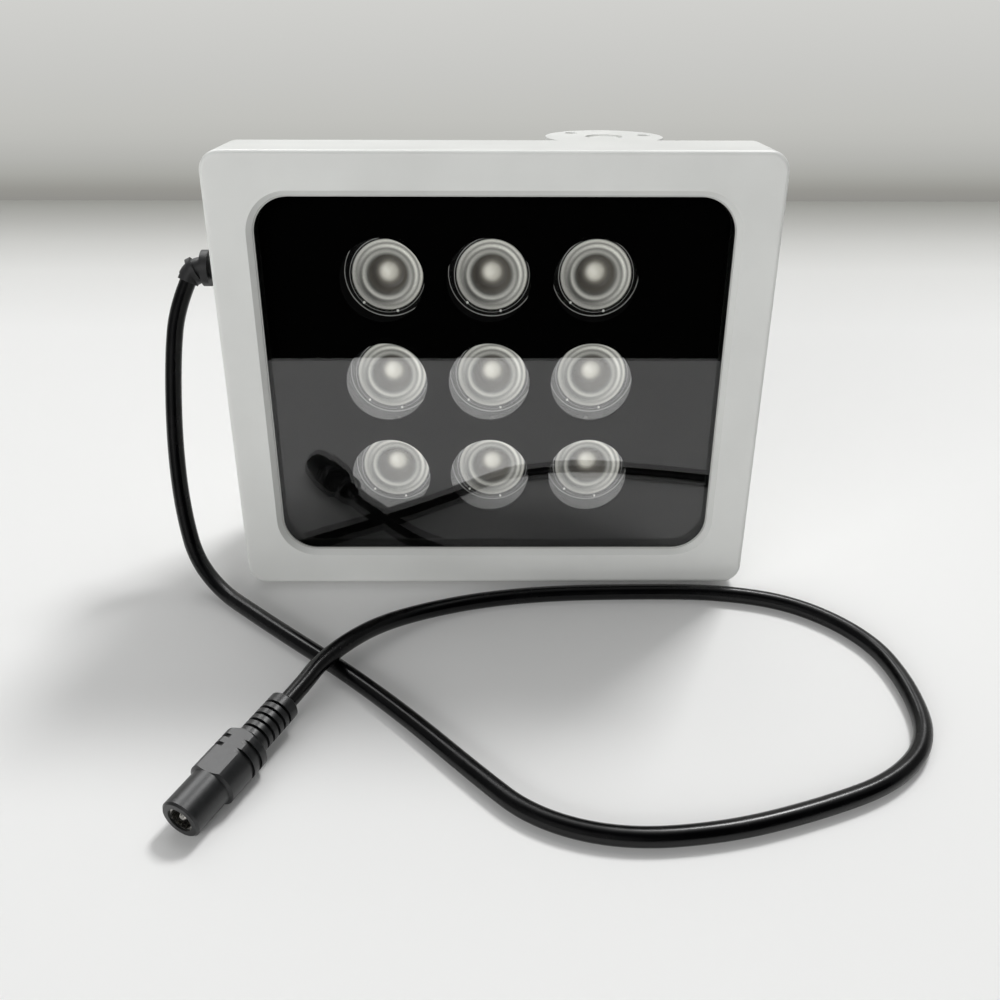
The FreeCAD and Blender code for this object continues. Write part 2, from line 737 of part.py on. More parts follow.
def make_screws():
    signs = [(a, b) for a in SIDES for b in SIDES]
    forwards, backwards = Rotation(), Rotation(Vector(0, 0, 1), 180)
    case_across, case_up, post_across, post_up = map(value, (SCREW_ACROSS, SCREW_UP, POST_ACROSS, POST_UP))

    case = screw_shape("case_screw_pattern", "corner_screw_seat + screw_grip", "thread_diameter",
                       "head_diameter", "head_height")
    seat = size.frame_depth + size.corner_screw_seat
    screw_group("housing_screws", case,
                [(a * case_across, seat, b * case_up) for a, b in signs], forwards)

    board = screw_shape("board_screw_pattern", "board_thickness + plate_thickness + screw_grip",
                        "thread_diameter", "head_diameter", "head_height")
    screw_group("board_screws", board,
                [(size.lens_shift + a * post_across, value(BOARD_FACE), b * post_up) for a, b in signs],
                backwards)

    driver = screw_shape("driver_screw_pattern", "driver_thickness + standoff_height - head_gap",
                         "thread_diameter", "head_diameter", "head_height")
    face = size.shell_depth + size.frame_depth - size.wall - size.standoff_height - size.driver_thickness
    across = size.driver_width / 2 - size.standoff_inset
    up = size.driver_height / 2 - size.standoff_inset
    screw_group("driver_screws", driver, [(a * across, face, b * up) for a, b in signs], backwards)

    base = screw_shape("base_screw_pattern", "base_screw_length", "base_screw_diameter",
                       "base_head_diameter", "base_head_height")
    seat = size.frame_depth + size.shell_depth + size.fin_height + size.base_thickness
    seat -= size.base_head_height
    screw_group("base_screws", base, [(0.0, seat, b * size.base_screw_up) for b in SIDES], forwards)


# Strain relief of the lead: rings on a core that starts straight and then bends down
def boot_station(angle):
    """Place on the core's bend, as seen from the wall, at an angle along it."""
    turn = math.radians(angle)
    reach = size.boot_bend_radius
    spot = Vector(size.boot_straight + reach * math.sin(turn), 0, -reach * (1 - math.cos(turn)))
    return Placement(spot, Rotation(Vector(0, 1, 0), 90 + angle))


def disc(name, diameter, length, place):
    made = doc.addObject("Part::Cylinder", name)
    made.setExpression("Radius", bound(f"{diameter} / 2"))
    made.setExpression("Height", bound(length))
    made.Placement = place
    return made


def make_boot():
    outward = Rotation(Vector(0, 1, 0), 90)

    def straight_disc(name, diameter, length, start):
        return disc(name, diameter, length, Placement(Vector(start, 0, 0), outward))

    inside = -size.wall - size.boot_inner_collar
    second = size.boot_collar_length + size.boot_ring_gap
    third = size.boot_straight - size.boot_ring_length
    bend = doc.addObject("Part::Torus", "boot_bend")
    bend.setExpression("Radius1", bound("boot_bend_radius"))
    bend.setExpression("Radius2", bound("boot_core_diameter / 2"))
    bend.setExpression("Angle3", bound("boot_bend_angle"))
    below = Vector(size.boot_straight, 0, -size.boot_bend_radius)
    turn_down = Rotation(Vector(0, 0, 1), Vector(0, 1, 0))
    bend.Placement = Placement(below, turn_down.multiply(Rotation(Vector(0, 0, 1), -90)))
    boot = doc.addObject("Part::MultiFuse", "cable_boot")
    boot.Shapes = [
        straight_disc("boot_inner_collar", "boot_ring_diameter", "boot_inner_collar", inside),
        straight_disc("boot_neck", "( boot_neck_diameter - thread_gap )", "wall + boot_inner_collar", inside),
        straight_disc("boot_collar", "boot_collar_diameter", "boot_collar_length", 0),
        straight_disc("boot_core", "boot_core_diameter", "boot_straight", 0),
        straight_disc("boot_second_ring", "boot_ring_diameter", "boot_ring_length", second),
        straight_disc("boot_third_ring", "boot_ring_diameter", "boot_ring_length", third),
        bend,
        disc("boot_tip_ring", "boot_tip_ring_diameter", "boot_tip_ring_length",
             boot_station(size.boot_tip_ring_angle)),
        disc("boot_end", "boot_end_diameter", "boot_end_length", boot_station(size.boot_bend_angle)),
    ]
    boot.Label = "cable_boot"
    left = Rotation(Vector(0, 0, 1), 180)
    return node(boot, -size.panel_width / 2 + size.housing_inset, size.lead_depth, size.lead_up,
                left.multiply(Rotation(Vector(1, 0, 0), size.boot_turn)))


# Bracket base: a round plate with two lugs
def make_bracket_base():
    body = new_body("bracket_base")
    studs(body, FIN_TIP, "base_thickness", [("0", "0")], "base_diameter")
    plate_back = f"{FIN_TIP} + base_thickness"
    axis_depth = f"( {FIN_TIP} + hinge_height )"
    span = "lug_gap + 2 * lug_thickness"
    cheek = sketch_on(body, "YZ_Plane")
    polygon(cheek, [(f"{plate_back} - 1", "-1 * lug_radius"), (axis_depth, "-1 * lug_radius"),
                    (axis_depth, "lug_radius"), (f"{plate_back} - 1", "lug_radius")])
    feature(body, "Pad", cheek, span, midplane=True)
    nose = sketch_on(body, "YZ_Plane")
    circles(nose, [(axis_depth, "0")], "2 * lug_radius")
    feature(body, "Pad", nose, span, midplane=True)
    slot = sketch_on(body, "YZ_Plane")
    far = f"{axis_depth} + lug_radius + 1"
    polygon(slot, [(plate_back, "-1 * lug_radius - 1"), (far, "-1 * lug_radius - 1"),
                   (far, "lug_radius + 1"), (plate_back, "lug_radius + 1")])
    feature(body, "Pocket", slot, "lug_gap", midplane=True)
    bore = sketch_on(body, "YZ_Plane")
    circles(bore, [(axis_depth, "0")], "tilt_bolt_diameter + 2 * running_gap")
    feature(body, "Pocket", bore, f"{span} + 2", midplane=True)
    holes = [("0", f"{side} * base_screw_up") for side in SIDES]
    drill(body, FIN_TIP, "base_thickness", holes, "base_screw_diameter + head_gap / 2")
    drill(body, f"{plate_back} - base_head_height", "base_head_height", holes,
          "base_head_diameter + head_gap / 2")
    return node(body)


def hex_prism(name, height):
    prism = doc.addObject("Part::Prism", name)
    prism.Polygon = 6
    prism.setExpression("Circumradius", bound("nut_across_flats / ( 2 * cos(30) )"))
    prism.setExpression("Height", bound(height))
    return prism


# Tilt bolt with its nut, across the lugs
def make_tilt_bolt(axis_depth):
    across = Rotation(Vector(0, 1, 0), 90)
    outside = size.lug_gap / 2 + size.lug_thickness
    head = hex_prism("tilt_bolt_head", "bolt_head_thickness")
    head.setExpression("Placement.Base.z", bound("-1 * bolt_head_thickness"))
    shank = disc("tilt_bolt_shank", "tilt_bolt_diameter",
                 "lug_gap + 2 * lug_thickness + nut_thickness + 1", Placement())
    bolt = doc.addObject("Part::MultiFuse", "tilt_bolt")
    bolt.Shapes = [head, shank]
    bolt.Label = "tilt_bolt"
    node(bolt, -outside, axis_depth, 0.0, across)

    blank = hex_prism("tilt_nut_blank", "nut_thickness")
    hole = disc("tilt_nut_hole", "( tilt_bolt_diameter + thread_gap )", "nut_thickness", Placement())
    nut = doc.addObject("Part::Cut", "tilt_nut")
    nut.Base, nut.Tool = blank, hole
    nut.Label = "tilt_nut"
    node(nut, outside, axis_depth, 0.0, across)


# Pivot block: a barrel between the lugs, a stem and a round table with a stud
def make_pivot_block(axis_depth):
    body = new_body("pivot_block")
    width = "lug_gap - 2 * side_gap"
    barrel = sketch_on(body, "YZ_Plane")
    circles(barrel, [("0", "0")], "2 * lug_radius")
    feature(body, "Pad", barrel, width, midplane=True)
    stem = sketch_on(body, "YZ_Plane")
    polygon(stem, [("-1 * stem_depth / 2", "0"), ("stem_depth / 2", "0"),
                   ("stem_depth / 2", "table_height + 1"), ("-1 * stem_depth / 2", "table_height + 1")])
    feature(body, "Pad", stem, width, midplane=True)
    upright(body, "Pad", "table_height", "table_thickness", "table_diameter")
    table = "( table_height + table_thickness )"
    stud = "( hub_height + 2 * turn_gap )"
    upright(body, "Pad", table, stud, "stud_diameter")
    upright(body, "Pocket", f"{table} + {stud}", "screw_grip + head_gap", "thread_diameter")
    bore = sketch_on(body, "YZ_Plane")
    circles(bore, [("0", "0")], "tilt_bolt_diameter + 2 * running_gap")
    feature(body, "Pocket", bore, f"{width} + 2", midplane=True)
    return node(body, 0.0, axis_depth, 0.0)


def cap_screw(name, across, deep, up):
    """Turn a flat capped screw that drives downwards, its cap seat at local zero."""
    body = new_body(name)
    sketch = sketch_on(body, "XZ_Plane")
    shank = "( thread_diameter - thread_gap ) / 2"
    polygon(sketch, [
        ("0", "cap_thickness"), ("0", "-1 * screw_grip"), (shank, "-1 * screw_grip"), (shank, "0"),
        ("cap_diameter / 2", "0"), ("cap_diameter / 2", "0.6 * cap_thickness"),
        ("cap_diameter / 2 - cap_edge", "cap_thickness")])
    feature(body, "Revolution", sketch)
    return node(body, across, deep, up)


# Arm: a hub, a level leg and a neck that ends in a spigot for the foot
def make_arm(axis_depth):
    body = new_body("arm")
    start = "( table_height + table_thickness + turn_gap )"
    neck = f"( neck_top - {start} )"
    upright(body, "Pad", "0", "hub_height", "hub_diameter")
    leg = sketch_on(body, "XY_Plane")
    polygon(leg, [("0", "-0.5 * arm_width"), ("arm_reach", "-0.5 * arm_width"),
                  ("arm_reach", "0.5 * arm_width"), ("0", "0.5 * arm_width")])
    feature(body, "Pad", leg, "hub_height")
    upright(body, "Pad", "0", neck, "arm_width", "arm_reach")
    spigot = "( foot_boss_height + foot_thickness - cap_recess + 2 * turn_gap )"
    upright(body, "Pad", neck, spigot, "stud_diameter", "arm_reach")
    upright(body, "Pocket", f"{neck} + {spigot}", "screw_grip + head_gap", "thread_diameter", "arm_reach")
    upright(body, "Pocket", "hub_height", "hub_height", "stud_diameter + 2 * running_gap")
    height = size.table_height + size.table_thickness + size.turn_gap
    return node(body, 0.0, axis_depth, height, Rotation(Vector(0, 0, 1), size.rest_swing))


# Foot: a round plate with a boss under it and three countersunk holes
def make_foot(across, deep):
    body = new_body("foot")
    upright(body, "Pad", "0", "foot_boss_height", "foot_boss_diameter")
    upright(body, "Pad", "foot_boss_height", "foot_thickness", "foot_diameter")
    top = "( foot_boss_height + foot_thickness )"
    upright(body, "Pocket", top, top, "stud_diameter + 2 * running_gap")
    upright(body, "Pocket", top, "cap_recess", "cap_diameter + 2 * cap_gap")
    places = [("foot_hole_circle / 2 * cos(%d)" % turn, "foot_hole_circle / 2 * sin(%d)" % turn)
              for turn in (0, 120, 240)]
    holes = sketch_on(body, "XY_Plane", top)
    circles(holes, places, "foot_hole_diameter")
    feature(body, "Pocket", holes, "foot_thickness + 0.5")
    sinks = sketch_on(body, "XY_Plane", "foot_boss_height + foot_sink_depth")
    circles(sinks, places, "foot_sink_diameter")
    feature(body, "Pocket", sinks, "foot_sink_depth + 0.5")
    return node(body, across, deep, size.neck_top + size.turn_gap,
                Rotation(Vector(0, 0, 1), size.rest_swing))


# Socket on the end of the lead: a ribbed tail, a grip with two flats, a barrel, a sleeve and a pin
def rib_grooves(sketch, start, count, pitch, width, radius, depth):
    """Draw the sections of ring grooves, cut from outside into a round outline."""
    outside = "( grip_diameter / 2 + 1 )"
    for order in range(count):
        low = f"( {start} + {order} * {pitch} )"
        polygon(sketch, [(f"{radius} - {depth}", low), (outside, low), (outside, f"{low} + {width}"),
                         (f"{radius} - {depth}", f"{low} + {width}")])


def make_socket():
    body = new_body("socket_body")
    bore = "( socket_bore / 2 + sleeve_wall )"
    grip_end = "( tail_length + grip_length )"
    turned(body, [
        ("0", "0"), ("tail_diameter / 2 - socket_edge", "0"), ("tail_diameter / 2", "socket_edge"),
        ("tail_diameter / 2", "tail_length"), ("grip_diameter / 2 - grip_chamfer", "tail_length"),
        ("grip_diameter / 2", "tail_length + grip_chamfer"),
        ("grip_diameter / 2", f"{grip_end} - socket_edge"), ("socket_diameter / 2", grip_end),
        ("socket_diameter / 2", "socket_length - socket_edge"),
        ("socket_diameter / 2 - socket_edge", "socket_length"),
        (bore, "socket_length"), (bore, SOCKET_FLOOR), ("0", SOCKET_FLOOR)])
    cuts = sketch_on(body, "XY_Plane")
    rib_grooves(cuts, "tail_collar", int(size.tail_groove_count), "tail_groove_pitch",
                "tail_groove_width", "tail_diameter / 2", "tail_groove_depth")
    rib_grooves(cuts, "( tail_length + grip_groove_pitch )", int(size.grip_groove_count),
                "grip_groove_pitch", "grip_groove_width", "grip_diameter / 2", "grip_groove_depth")
    feature(body, "Groove", cuts)
    for side in SIDES:
        flat = sketch_on(body, "XY_Plane", f"{side} * grip_diameter / 2")
        half = "grip_diameter / 2"
        polygon(flat, [(f"-1 * {half}", "tail_length"), (half, "tail_length"), (half, grip_end),
                       (f"-1 * {half}", grip_end)])
        feature(body, "Pocket", flat, "( grip_diameter - socket_diameter ) / 2", reverse=side < 0)

    sleeve = new_body("socket_sleeve")
    sleeve_end = "socket_length - socket_edge"
    turned(sleeve, [("socket_bore / 2", SOCKET_FLOOR), (bore, SOCKET_FLOOR), (bore, sleeve_end),
                    ("socket_bore / 2", sleeve_end)])
    pin = new_body("socket_pin")
    pin_end = "( socket_length - pin_setback )"
    turned(pin, [("0", SOCKET_FLOOR), ("pin_diameter / 2", SOCKET_FLOOR),
                 ("pin_diameter / 2", f"{pin_end} - pin_point"),
                 ("pin_diameter / 2 - pin_point", pin_end), ("0", pin_end)])
    return body, sleeve, pin


make_front_frame()
make_glass()
for place, (column, line) in enumerate([(a, b) for b in (1, 0, -1) for a in (-1, 0, 1)], start=1):
    spot = (size.lens_shift + column * size.lens_pitch, line * size.lens_pitch)
    make_lens(place, *spot)
    make_emitter(place, *spot)
make_boards()
make_driver()
make_rear_housing()
make_housing_seal()
make_screws()
make_boot()
hinge_depth = size.frame_depth + size.shell_depth + size.fin_height + size.hinge_height
make_bracket_base()
make_tilt_bolt(hinge_depth)
make_pivot_block(hinge_depth)
table_top = size.table_height + size.table_thickness
cap_screw("swing_screw", 0.0, hinge_depth, table_top + size.hub_height + 2 * size.turn_gap)
make_arm(hinge_depth)
swing = math.radians(size.rest_swing)
foot_across = size.arm_reach * math.cos(swing)
foot_deep = hinge_depth + size.arm_reach * math.sin(swing)
make_foot(foot_across, foot_deep)
cap_seat = size.neck_top + size.foot_boss_height + size.foot_thickness - size.cap_recess
cap_screw("foot_screw", foot_across, foot_deep, cap_seat + 2 * size.turn_gap)
socket_pieces = make_socket()
doc.recompute()

# Lean the lamp back on the two edges that it stands on
fin_tip = size.frame_depth + size.shell_depth + size.fin_height
lean = math.degrees(math.atan2(size.housing_inset, size.shell_depth + size.fin_height))
stand = Vector(0, size.frame_depth, -size.panel_height / 2)
tip_back = Rotation(Vector(1, 0, 0), -lean)
standing = Placement(tip_back.multVec(stand) * -1, tip_back)


def put_in_place(setback):
    """Set every placement, with the row's origin a setback behind the front standing edge."""
    shift = Placement(Vector(0, -setback, 0), Rotation())
    for item, place in NODES:
        item.Placement = shift.multiply(standing).multiply(place)
    doc.recompute()


put_in_place(0.0)
reach = FreeCAD.BoundBox()
for item, place in NODES:
    if item.Label != "cable_boot":
        reach.add(item.Shape.optimalBoundingBox(False))
setback = (reach.YMin + reach.YMax) / 2
put_in_place(setback)
to_row = Placement(Vector(0, -setback, 0), Rotation()).multiply(standing)

# Lead: where it leaves the strain relief, where it meets the socket, and the points between them
boot_place = next(place for item, place in NODES if item.Label == "cable_boot")
exit_local = boot_station(size.boot_bend_angle)
outlet = to_row.multiply(boot_place).multiply(exit_local)
lead_exit = outlet.multVec(Vector(0, 0, size.boot_end_length))
lead_heading = outlet.Rotation.multVec(Vector(0, 0, 1))
LIE = size.cable_diameter / 2
OVER = 3 * LIE + size.cord_gap
SOCKET_TAIL = Vector(-53.1, -113.0, 7.0)
SOCKET_TIP = Vector(-70.5, -148.5, 5.3)
socket_heading = (SOCKET_TIP - SOCKET_TAIL).normalize()
ROUTE = [
    lead_exit,
    lead_exit + lead_heading * 8.5,
    Vector(-96.4, -23.8, 64.5),
    Vector(-97.0, -32.0, 46.5),
    Vector(-96.3, -39.0, 31.5),
    Vector(-94.4, -45.2, 19.5),
    Vector(-91.0, -51.6, 9.0),
    Vector(-82.6, -59.2, LIE),
    Vector(-70.8, -69.8, LIE),
    Vector(-56.5, -82.2, LIE),
    Vector(-41.0, -95.2, LIE),
    Vector(-22.5, -112.8, LIE),
    Vector(-4.2, -132.6, LIE),
    Vector(8.5, -145.4, LIE),
    Vector(28.0, -151.7, LIE),
    Vector(52.0, -149.8, LIE),
    Vector(75.0, -143.2, LIE),
    Vector(95.5, -134.8, LIE),
    Vector(108.3, -121.5, LIE),
    Vector(110.3, -102.5, LIE),
    Vector(106.4, -82.5, LIE),
    Vector(90.0, -66.0, LIE),
    Vector(68.0, -59.9, LIE),
    Vector(42.0, -59.6, LIE),
    Vector(17.0, -60.4, LIE),
    Vector(-3.0, -63.4, LIE),
    Vector(-19.0, -69.6, LIE + 1.0),
    Vector(-31.5, -78.6, LIE + 3.4),
    Vector(-39.6, -88.6, OVER),
    Vector(-46.6, -98.4, OVER),
    SOCKET_TAIL - socket_heading * 8.0,
    SOCKET_TAIL,
]


def cord_path(points):
    """Straight runs joined by tangent arcs, each as large as its two runs allow."""
    edges, radii = [], []
    start = points[0]
    for before, corner, after in zip(points, points[1:], points[2:]):
        came, goes = corner - before, after - corner
        turn = came.getAngle(goes)
        trim = 0.45 * min(came.Length, goes.Length)
        radii.append(trim / math.tan(turn / 2))
        enter = corner - came.normalize() * trim
        leave = corner + goes.normalize() * trim
        inwards = (enter + leave) * 0.5 - corner
        inwards.normalize()
        centre_gap = radii[-1] / math.cos(turn / 2)
        middle = corner + inwards * (centre_gap - radii[-1])
        edges.append(Part.LineSegment(start, enter).toShape())
        edges.append(Part.Arc(enter, middle, leave).toShape())
        start = leave
    edges.append(Part.LineSegment(start, points[-1]).toShape())
    return Part.Wire(edges), radii


path, radii = cord_path(ROUTE)
print("lead radii", [round(radius, 1) for radius in radii])
runs = [(b - a).Length for a, b in zip(ROUTE, ROUTE[1:])]
print("lead runs", [round(run, 1) for run in runs])
first_edge = path.Edges[0]
along = (first_edge.Vertexes[1].Point - first_edge.Vertexes[0].Point).normalize()
section = Part.Wire([Part.Circle(ROUTE[0], along, size.cable_diameter / 2).toShape()])
swept = path.makePipeShell([section], True, False)
cable = doc.addObject("Part::Feature", "cable")
cable.Shape = swept
cable.Label = "cable"
full = math.pi * size.cable_diameter ** 2 / 4 * path.Length
print("lead length", round(path.Length, 1), "volume ratio", round(swept.Volume / full, 5))

for piece in socket_pieces:
    piece.Placement = Placement(SOCKET_TAIL, Rotation(Vector(), socket_heading, Vector(0, 0, 1), "YZX"))
doc.recompute()

# Check every object and every shape, then write the pieces
finished = [item for item, place in NODES] + [cable] + list(socket_pieces)
for thing in doc.Objects:
    troubles = [state for state in thing.State if state in ("Invalid", "Error")]
    if troubles:
        raise RuntimeError(f"{thing.Name} {thing.Label}: {troubles}")
for item in finished:
    if item.Shape.isNull() or not item.Shape.isValid() or not item.Shape.Solids:
        raise RuntimeError(f"{item.Label} has no valid solid")
for item in finished:
    item.Shape.exportStep(f"parts/{item.Label}.step")
total = FreeCAD.BoundBox()
for item in finished:
    total.add(item.Shape.optimalBoundingBox(False))
print(len(finished), "pieces", "setback", round(setback, 2), "lean", round(lean, 3))
print("body box", [round(v, 2) for v in (reach.XLength, reach.YLength, reach.ZLength, reach.ZMin)])
print("whole box", total)
print("lead exit", [round(v, 2) for v in ROUTE[0]], "heading", [round(v, 3) for v in lead_heading])
for label, spot in (("hinge", Vector(0, hinge_depth, 0)), ("foot", Vector(foot_across, foot_deep, 0))):
    print(label, [round(v, 4) for v in to_row.multVec(spot)])
print("up the lamp", [round(v, 6) for v in to_row.Rotation.multVec(Vector(0, 0, 1))])
foot_top = size.neck_top + size.turn_gap + size.foot_boss_height + size.foot_thickness
print("foot face", [round(v, 4) for v in to_row.multVec(Vector(foot_across, foot_deep, foot_top))])
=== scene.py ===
import json
import math

import bmesh
import bpy
from mathutils import Matrix, Vector


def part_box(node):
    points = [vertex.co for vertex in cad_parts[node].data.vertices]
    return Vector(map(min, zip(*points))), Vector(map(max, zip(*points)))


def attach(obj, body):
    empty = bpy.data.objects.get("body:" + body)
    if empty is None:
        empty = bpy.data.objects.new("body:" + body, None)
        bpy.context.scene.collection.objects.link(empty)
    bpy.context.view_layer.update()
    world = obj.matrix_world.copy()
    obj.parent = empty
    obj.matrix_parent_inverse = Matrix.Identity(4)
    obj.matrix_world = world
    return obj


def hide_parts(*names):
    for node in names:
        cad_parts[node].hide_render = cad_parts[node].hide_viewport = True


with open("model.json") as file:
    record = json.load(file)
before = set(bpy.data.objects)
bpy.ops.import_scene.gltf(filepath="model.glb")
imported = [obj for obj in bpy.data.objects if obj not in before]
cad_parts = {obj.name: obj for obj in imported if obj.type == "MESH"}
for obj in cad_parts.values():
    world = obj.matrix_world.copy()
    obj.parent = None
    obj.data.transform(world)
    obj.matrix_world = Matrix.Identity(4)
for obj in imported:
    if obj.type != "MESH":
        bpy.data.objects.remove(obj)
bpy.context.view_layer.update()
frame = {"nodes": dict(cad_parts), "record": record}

nodes = frame["nodes"]
MM = 0.001
LAMP = "lamp"


# Colours, nodes and materials
def srgb(code):
    """A hex colour as the eye reads it, turned to linear light."""
    parts = [int(code[i:i + 2], 16) / 255 for i in (1, 3, 5)]
    linear = [p / 12.92 if p <= 0.04045 else ((p + 0.055) / 1.055) ** 2.4 for p in parts]
    return (*linear, 1.0)


def add(tree, kind, settings=None, inputs=None, stops=()):
    """Add a shader node, with its settings, what goes into its sockets, and a ramp's places and colours."""
    made = tree.nodes.new("ShaderNode" + kind)
    for name, value in (settings or {}).items():
        setattr(made, name, value)
    for name, value in (inputs or {}).items():
        if isinstance(value, bpy.types.NodeSocket):
            tree.links.new(value, made.inputs[name])
        else:
            made.inputs[name].default_value = value
    if stops:
        first, last = made.color_ramp.elements
        for stop, (place, colour) in ((first, stops[0]), (last, stops[-1])):
            stop.position, stop.color = place, srgb(colour)
        for place, colour in stops[1:-1]:
            made.color_ramp.elements.new(place).color = srgb(colour)
    return made


def finish(name, colour, roughness, **sockets):
    """A material with one principled shader, and its fixed values on the shader's own sockets."""
    made = bpy.data.materials.new(name)
    made.use_nodes = True
    shader = made.node_tree.nodes["Principled BSDF"]
    shader.inputs["Base Color"].default_value = srgb(colour)
    shader.inputs["Roughness"].default_value = roughness
    for key, value in sockets.items():
        shader.inputs[key.replace("_", " ")].default_value = value
    made.diffuse_color = srgb(colour)
    return made, made.node_tree, shader


def uneven(tree, shader, size_mm, detail=3.0, colours=None, roughness=None, dimples=None):
    """Vary a surface in lumps of a size in millimetres.

    Its colour goes from the first to the second, its roughness likewise, and the dimples are
    a depth in millimetres and a strength.
    """
    place = add(tree, "TexCoord").outputs["Object"]
    scale = 1 / (size_mm * MM)
    lumps = add(tree, "TexNoise", {}, {"Vector": place, "Scale": scale, "Detail": detail}).outputs["Fac"]
    spread = {"Value": lumps, "From Min": 0.3, "From Max": 0.7}
    if colours:
        amount = add(tree, "MapRange", {}, spread).outputs["Result"]
        low, high = (srgb(colour) for colour in colours)
        mix = add(tree, "Mix", {"data_type": "RGBA"}, {"Factor": amount, 6: low, 7: high})
        tree.links.new(mix.outputs[2], shader.inputs["Base Color"])
    if roughness:
        low, high = roughness
        amount = add(tree, "MapRange", {}, {**spread, "To Min": low, "To Max": high}).outputs["Result"]
        tree.links.new(amount, shader.inputs["Roughness"])
    if dimples:
        depth, strength = dimples
        bump = add(tree, "Bump", {}, {"Height": lumps, "Distance": depth * MM, "Strength": strength})
        tree.links.new(bump.outputs["Normal"], shader.inputs["Normal"])


# Powder coat, baked on cast aluminium: white, with a soft sheen, faint clouds and an orange peel
powder_coat, tree, shader = finish("white_powder_coat", "#e3e4e1", 0.42, IOR=1.5)
uneven(tree, shader, 30.0, colours=("#dfe0dd", "#e7e8e5"), roughness=(0.38, 0.47))
uneven(tree, shader, 1.3, 2.0, dimples=(0.02, 0.5))

# Float glass: clear and polished, so it mirrors the table in front of it
float_glass, tree, shader = finish("clear_float_glass", "#ffffff", 0.0, IOR=1.52, Transmission_Weight=1.0)

# Screen ink, fired on the back of the glass: opaque black with no shine of its own
ink, tree, shader = finish("fired_black_ink", "#030303", 1.0, Specular_IOR_Level=0.0)

# Silicone sealant, squeezed in and wiped: grey, soft, wavy and a little translucent
silicone, tree, shader = finish("grey_silicone", "#c2c3c0", 0.4, Subsurface_Weight=0.15)
shader.inputs["Subsurface Radius"].default_value = (MM, MM, MM)
uneven(tree, shader, 2.0, dimples=(0.06, 0.6))

# Polyester film behind each window: clear, with a hard coat that mirrors more than the glass does
film, tree, shader = finish("clear_polyester_film", "#ffffff", 0.0, IOR=2.1, Transmission_Weight=1.0)

# Acrylic, moulded: clear, with a painted highlight in pale grey along thin edges and a painted glint in near
# white on two small marks
clear_acrylic, tree, shader = finish("clear_acrylic", "#ffffff", 0.0, IOR=1.49, Transmission_Weight=1.0)
glint_acrylic, tree, shader = finish("acrylic_painted_glint", "#f4f4ef", 0.2, IOR=1.49)
edge_highlight_acrylic, tree, shader = finish("acrylic_painted_edge_highlight", "#a3a4a1", 0.2, IOR=1.49)

# Acrylic cup, moulded in steps, with its light and shade painted on: a painted glow in the middle, painted
# shade in the dim well, and rings painted with the light that their slopes send back. Each ring is a reach
# from the cup's middle in millimetres and its painted tone, lit and sharper on the side of the room's
# window, shaded on the far side.
CUP_REACH = 9.85
WELL_GLOW_AND_SHADE_RINGS = [
    (0.0, "#f8f6ea"), (1.6, "#f2f0e4"), (2.3, "#cfcdc2"), (3.0, "#86837a"), (3.8, "#64615b"),
    (5.0, "#5c5953")]
PAINTED_LIT_SIDE_RINGS = WELL_GLOW_AND_SHADE_RINGS + [
    (5.75, "#81817c"), (6.2, "#afafa8"), (6.6, "#a9a9a3"), (6.95, "#8e8e89"), (7.25, "#8e8e89"),
    (7.55, "#c9c9c1"), (7.85, "#f3f3ea"), (8.1, "#f7f7ee"), (8.45, "#c3c3bc"), (8.75, "#8e8e89"),
    (9.05, "#c9c9c1"), (9.35, "#eeeee5"), (9.65, "#c9c9c1"), (CUP_REACH, "#95958f")]
PAINTED_SHADED_SIDE_RINGS = WELL_GLOW_AND_SHADE_RINGS + [
    (5.6, "#5e5e5a"), (5.95, "#888883"), (6.25, "#a9a9a3"), (6.6, "#c9c9c1"), (6.85, "#c9c9c1"),
    (7.15, "#8e8e89"), (7.45, "#63635f"), (7.75, "#5a5a57"), (8.05, "#6d6d69"), (8.65, "#8e8e89"),
    (8.95, "#9f9f99"), (9.3, "#a9a9a3"), (9.6, "#afafa8"), (CUP_REACH, "#95958f")]
# The painted tones colour the cup and also make it glow faintly, a painted glow though it is no lamp
cup_painted_light, tree, shader = finish("acrylic_with_painted_light", "#d8d8ce", 0.25, IOR=1.49, Emission_Strength=0.15)
reach = add(tree, "Attribute", {"attribute_name": "reach"}).outputs["Fac"]
painted_lit_side = add(tree, "Attribute", {"attribute_name": "painted_lit_side"}).outputs["Fac"]
shaded_side_rings, lit_side_rings = (
    add(tree, "ValToRGB", {}, {"Fac": reach}, [(radius / CUP_REACH, tone) for radius, tone in rings])
    for rings in (PAINTED_SHADED_SIDE_RINGS, PAINTED_LIT_SIDE_RINGS))
mix = add(tree, "Mix", {"data_type": "RGBA"},
          {"Factor": painted_lit_side, 6: shaded_side_rings.outputs["Color"], 7: lit_side_rings.outputs["Color"]})
for name in ("Base Color", "Emission Color"):
    tree.links.new(mix.outputs[2], shader.inputs[name])

# Epoxy, cast: the emitters' domes, pale, smooth and glossy
epoxy, tree, shader = finish("pale_epoxy", "#c9c7bb", 0.15, IOR=1.5)

# Polyvinyl chloride, extruded: the lead's sheath, deep black with a long soft shine and slight waves
sheath, tree, shader = finish("black_pvc_sheath", "#020203", 0.2, IOR=1.38)
uneven(tree, shader, 9.0, roughness=(0.2, 0.3))
uneven(tree, shader, 6.0, 2.0, dimples=(0.08, 0.5))

# Rubber, moulded: satin black and a little dusty, its fine grain drawn coarser so that it shows
rubber, tree, shader = finish("black_moulded_rubber", "#141415", 0.5, IOR=1.52)
uneven(tree, shader, 3.0, 4.0, colours=("#101011", "#1d1d1e"))
uneven(tree, shader, 0.7, dimples=(0.02, 0.6))

